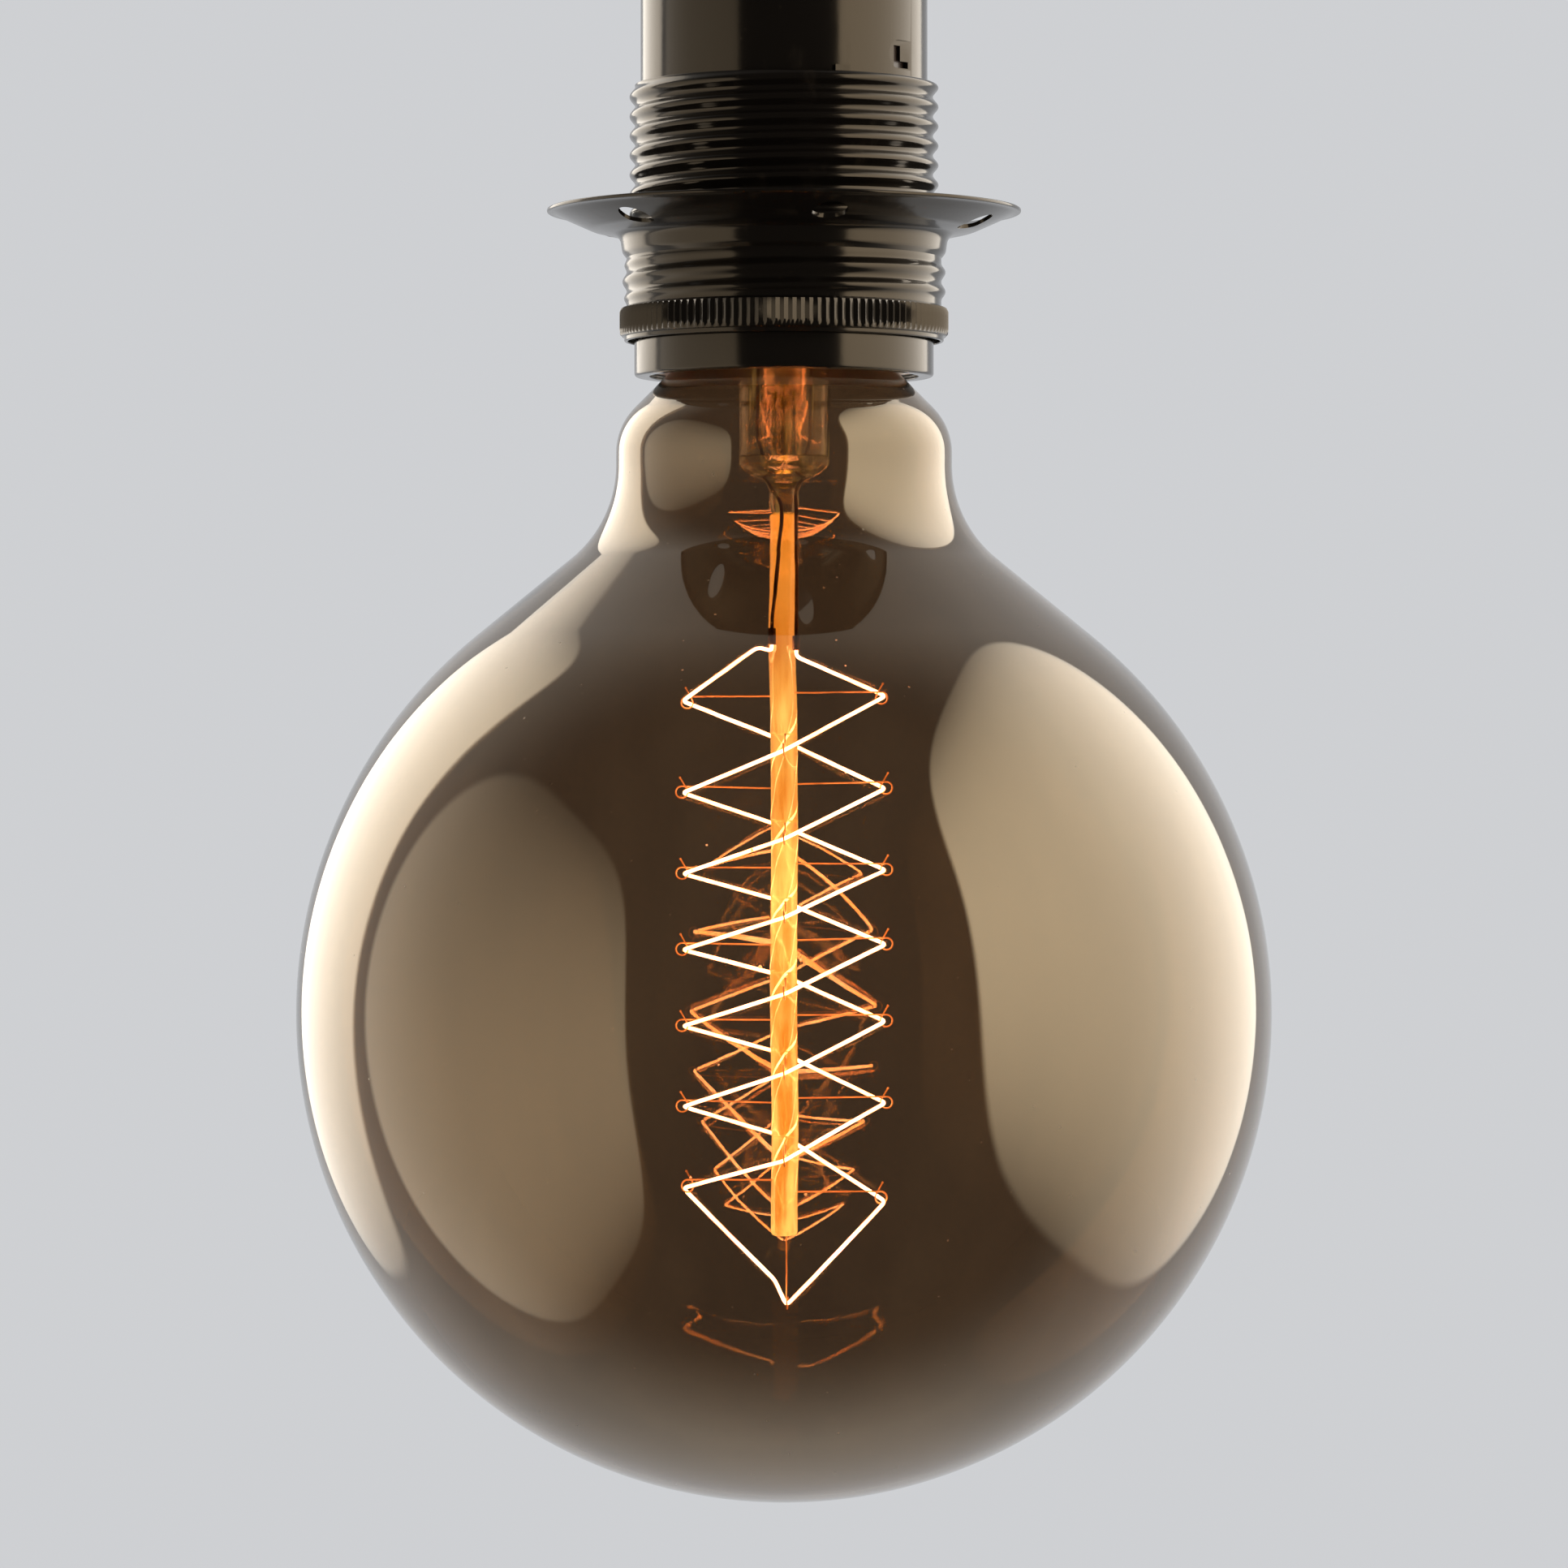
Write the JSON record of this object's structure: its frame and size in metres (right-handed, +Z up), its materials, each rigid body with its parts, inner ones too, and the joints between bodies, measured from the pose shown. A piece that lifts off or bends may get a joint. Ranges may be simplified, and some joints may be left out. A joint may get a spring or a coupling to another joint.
{
  "type": "globe filament bulb in lampholder",
  "caption": "Hanging lampholder with a screwed-in globe filament bulb: threaded skirt, shade ring, screw contacts and a spiral filament in smoked glass.",
  "frame": {"origin": "middle of the entry collar's top face, where the pendant hangs from its M10 x 1 nipple", "axes": "+Z up along the lampholder and bulb axis; the bulb hangs along -Z; +Y away from the picture's camera"},
  "size_m": [0.125, 0.125, 0.2125],
  "materials": {
    "black_gloss": "glossy black lacquer",
    "plated_steel": "zinc plated",
    "nickel": "nickel plate",
    "brass": "satin",
    "porcelain": "glazed",
    "solder": "dull solder",
    "black_glass": "black insulating glass",
    "cement": "baked cement",
    "amber_glass": "smoked amber",
    "stem_glass": "clear",
    "lit_glass": "clear, lit by the filament",
    "lead_wire": "oxidised nickel",
    "hook_wire": "drawn molybdenum",
    "glowing_wire": "glowing coiled wire"
  },
  "bodies": {
    "holder": {"entry_collar": "black_gloss", "collar_screw": "plated_steel", "cap_dome": "black_gloss", "earth_terminal": "brass", "earth_screw": "brass", "contact_block": "porcelain", "line_terminal": "brass", "neutral_terminal": "brass", "terminal_screws": "plated_steel", "tongue_foot": "brass", "screw_shell": "nickel", "shell_rivets": "plated_steel", "liner": "porcelain", "skirt": "black_gloss"},
    "contact": {"centre_tongue": "brass"},
    "shade_ring": {"shade_ring": "black_gloss"},
    "bulb_tip": {"tip_contact": "solder"},
    "bulb": {"cap_insulator": "black_glass", "cap_shell": "nickel", "cap_cement": "cement", "side_solder": "solder", "globe": "amber_glass", "flare_tube": "stem_glass", "exhaust_tube": "stem_glass", "stem_press": "stem_glass", "centre_rod": "lit_glass", "lead_wire_a": "lead_wire", "lead_wire_b": "lead_wire", "lead_clamps": "lead_wire", "hooks_left": "hook_wire", "hooks_right": "hook_wire", "hooks_front": "hook_wire", "hooks_back": "hook_wire", "tip_hook": "hook_wire", "filament": "glowing_wire"}
  },
  "joints": [
    {"name": "bulb_travel", "type": "slide", "parent": "holder", "child": "bulb_tip", "axis": [0, 0, -1], "range_m": [0, 0.0255]},
    {"name": "bulb_turn", "type": "hinge", "parent": "bulb_tip", "child": "bulb", "pos_m": [0, 0, -0.15], "axis": [0, 0, -1], "range_deg": [0, 2520]},
    {"name": "shade_ring_travel", "type": "slide", "parent": "holder", "child": "shade_ring", "axis": [0, 0, 1], "range_m": [0, 0.014]},
    {"name": "contact_bend", "type": "hinge", "parent": "holder", "child": "contact", "pos_m": [0.007, 0, -0.0364], "axis": [0, 1, 0], "range_deg": [0, 5], "stiffness_Nm_per_rad": 0.15}
  ],
  "couplings": [
    {"joint": "bulb_travel", "follows": "bulb_turn", "m_per_rad": 0.00057757}
  ]
}
